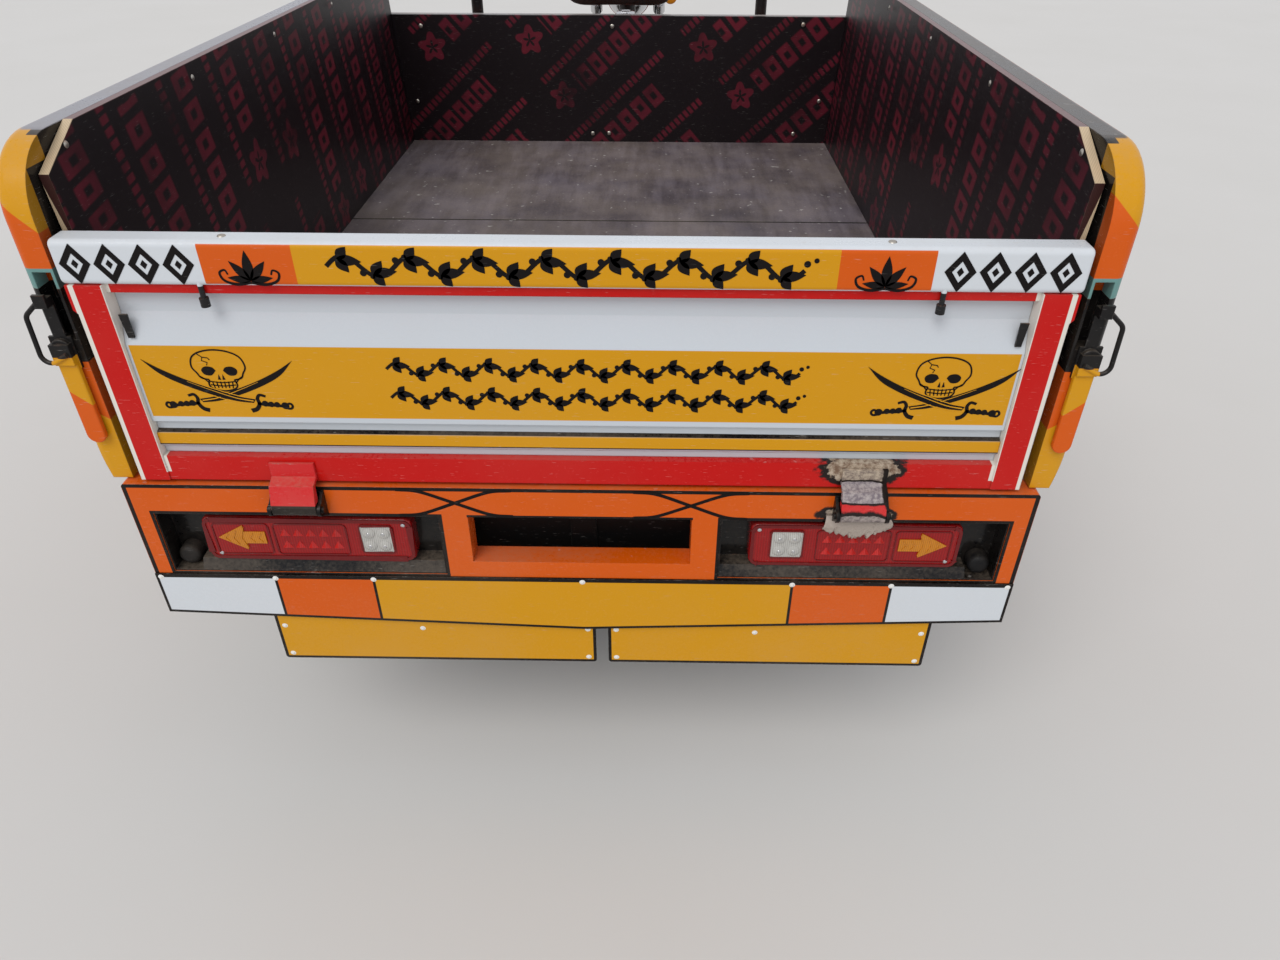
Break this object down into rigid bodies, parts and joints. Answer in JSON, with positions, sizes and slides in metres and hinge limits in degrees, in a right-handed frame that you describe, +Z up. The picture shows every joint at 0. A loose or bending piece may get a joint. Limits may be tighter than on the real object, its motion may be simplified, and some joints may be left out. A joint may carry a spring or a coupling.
{
  "type": "cargo tricycle",
  "caption": "Motor tricycle with a ply-lined open cargo bed, a drop tailgate, a leaf-sprung rear axle and a telescopic front fork.",
  "frame": {"origin": "on the ground, at the middle of the machine's length and width", "axes": "+Y forward, +X to the rider's right, +Z up"},
  "size_m": [1.4084, 3.4061, 1.3859],
  "materials": {
    "tyre_rubber": "matt black, dusty",
    "wheel_paint": "silver-grey enamel",
    "frame_black": "black enamel, dusty",
    "spring_steel": "dark spring steel",
    "engine_alloy": "cast, dull",
    "cylinder_iron": "black-brown, dull",
    "exhaust_black": "heat-proof black",
    "body_orange": "gloss orange",
    "body_yellow": "gloss yellow",
    "bed_grey": "grey undercoat",
    "lining_ply": "dark film-faced plywood",
    "floor_ply": "worn dark plywood",
    "gate_white": "gloss white",
    "gate_red": "gloss red",
    "black_sheet": "satin black",
    "lamp_red": "clear red, glossy",
    "soft_rubber": "matt black",
    "zinc_steel": "bare and worn",
    "chrome_trim": "bright",
    "black_plastic": "satin black",
    "seat_vinyl": "black vinyl",
    "tank_red": "gloss red",
    "amber_plastic": "clear amber",
    "lamp_glass": "clear"
  },
  "bodies": {
    "chassis": {"rear_axle": "frame_black", "leaf_springs": "spring_steel", "spring_mounts": "frame_black", "axle_clamps": "spring_steel", "bed_floor": "bed_grey", "floor_boards": "floor_ply", "side_wall_right": "body_orange", "side_wall_left": "body_orange", "front_wall": "body_orange", "bed_linings": "lining_ply", "hinge_brackets": "black_sheet", "bumper_frame": "body_orange", "lamp_trays": "black_sheet", "tail_lamps": "lamp_red", "buffers": "soft_rubber", "sign_board": "body_yellow", "plate_boards": "body_yellow", "plate_straps": "black_sheet", "corner_latches": "body_yellow", "ladder_frame": "frame_black", "front_frame": "frame_black", "engine_case": "engine_alloy", "engine_cylinder": "cylinder_iron", "intake": "black_plastic", "exhaust": "exhaust_black", "propeller_shaft": "frame_black", "seat_box": "body_orange", "seat_cushion": "seat_vinyl", "fuel_tank": "tank_red", "footboards": "black_sheet", "pedals": "black_sheet", "rear_mudguards": "black_sheet", "guard_hoop": "frame_black", "backrest": "seat_vinyl"},
    "steering": {"fork_yokes": "frame_black", "fork_tubes": "chrome_trim", "fork_gaiters": "soft_rubber", "fork_sliders": "engine_alloy", "front_mudguard": "tank_red", "handlebar": "chrome_trim", "hand_grips": "soft_rubber", "hand_levers": "black_plastic", "mirrors": "black_plastic", "headlamp": "chrome_trim", "headlamp_glass": "lamp_glass", "instrument": "black_plastic", "front_indicators": "amber_plastic"},
    "front_wheel_body": {"front_tyre": "tyre_rubber", "front_wheel": "wheel_paint"},
    "rear_wheel_right_body": {"rear_tyre_right": "tyre_rubber", "rear_wheel_right": "wheel_paint"},
    "rear_wheel_left_body": {"rear_tyre_left": "tyre_rubber", "rear_wheel_left": "wheel_paint"},
    "tailgate": {"tailgate_frame": "gate_red", "tailgate_panel": "gate_white", "tailgate_rail": "gate_white", "hinge_leaves": "zinc_steel"}
  },
  "joints": [
    {"name": "steer", "type": "hinge", "parent": "chassis", "child": "steering", "pos_m": [0, 1.07029, 0.88], "axis": [0, -0.4384, 0.8988], "range_deg": [-35, 35]},
    {"name": "front_wheel_spin", "type": "hinge", "parent": "steering", "child": "front_wheel_body", "pos_m": [0, 1.405, 0.285], "axis": [1, 0, 0], "continuous": true},
    {"name": "rear_wheel_right_spin", "type": "hinge", "parent": "chassis", "child": "rear_wheel_right_body", "pos_m": [0.56, -0.795, 0.285], "axis": [1, 0, 0], "continuous": true},
    {"name": "rear_wheel_left_spin", "type": "hinge", "parent": "chassis", "child": "rear_wheel_left_body", "pos_m": [-0.56, -0.795, 0.285], "axis": [1, 0, 0], "continuous": true},
    {"name": "tailgate_drop", "type": "hinge", "parent": "chassis", "child": "tailgate", "pos_m": [0, -1.697, 0.652], "axis": [1, 0, 0], "range_deg": [0, 175]}
  ]
}
